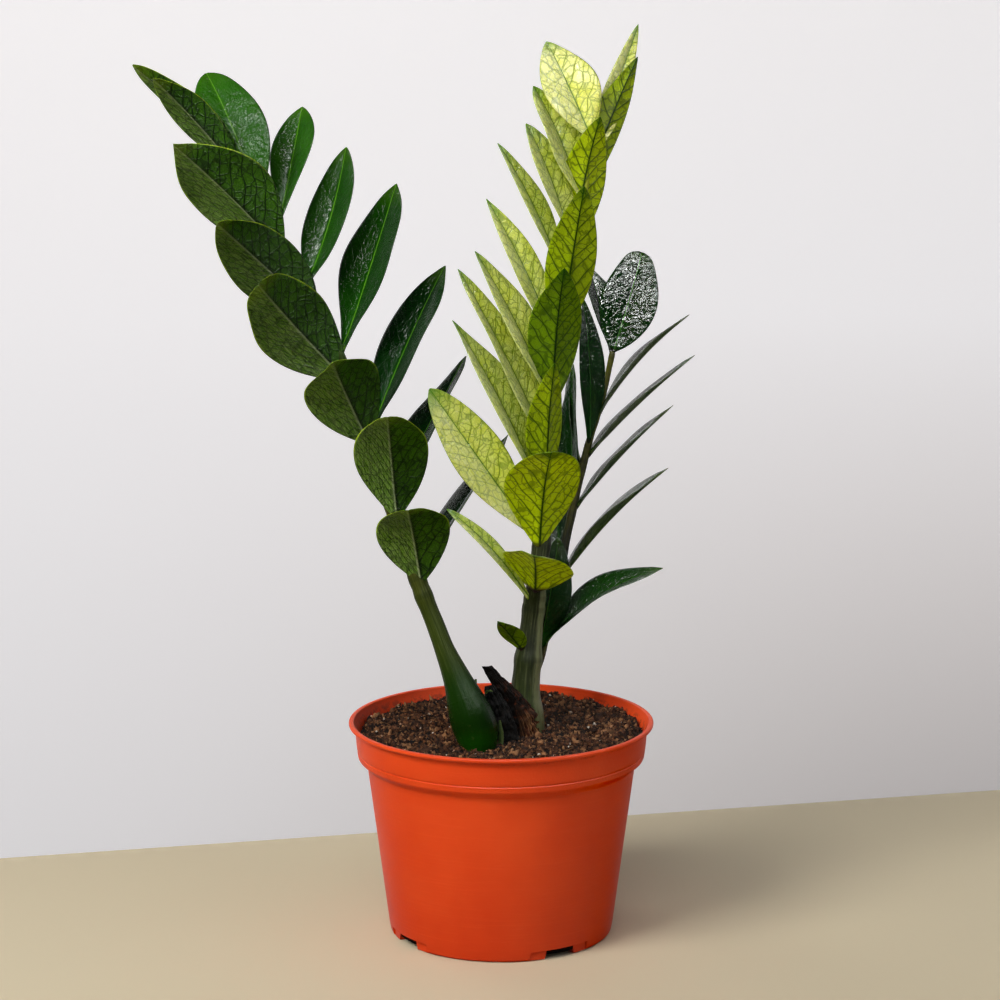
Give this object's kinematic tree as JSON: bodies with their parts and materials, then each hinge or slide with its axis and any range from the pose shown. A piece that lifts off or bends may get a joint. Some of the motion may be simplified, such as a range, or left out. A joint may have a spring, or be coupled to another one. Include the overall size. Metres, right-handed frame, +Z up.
{
  "type": "potted zz plant",
  "caption": "Glossy-leaved ZZ plant with arching feather-shaped fronds rising from a rhizome in potting mix, in a flared round nursery pot that stands on its flat base.",
  "frame": {"origin": "middle of the pot's flat underside", "axes": "+Z up along the pot's axis, -Y towards the front from which the plant was pictured, +X to the right seen from the front"},
  "size_m": [0.3007, 0.1787, 0.4875],
  "materials": {
    "pot_plastic": "satin",
    "potting_mix": "matte",
    "tuber": "matte",
    "leaf_dark": "gloss",
    "leaf_yellow": "gloss",
    "leaf_shade": "gloss",
    "dry_sheath": "matte"
  },
  "bodies": {
    "root": {"pot": "pot_plastic", "potting_mix": "potting_mix", "rhizome": "tuber", "frond_left": "leaf_dark", "frond_middle": "leaf_yellow", "frond_back": "leaf_shade", "dry_sheath": "dry_sheath"}
  },
  "joints": []
}
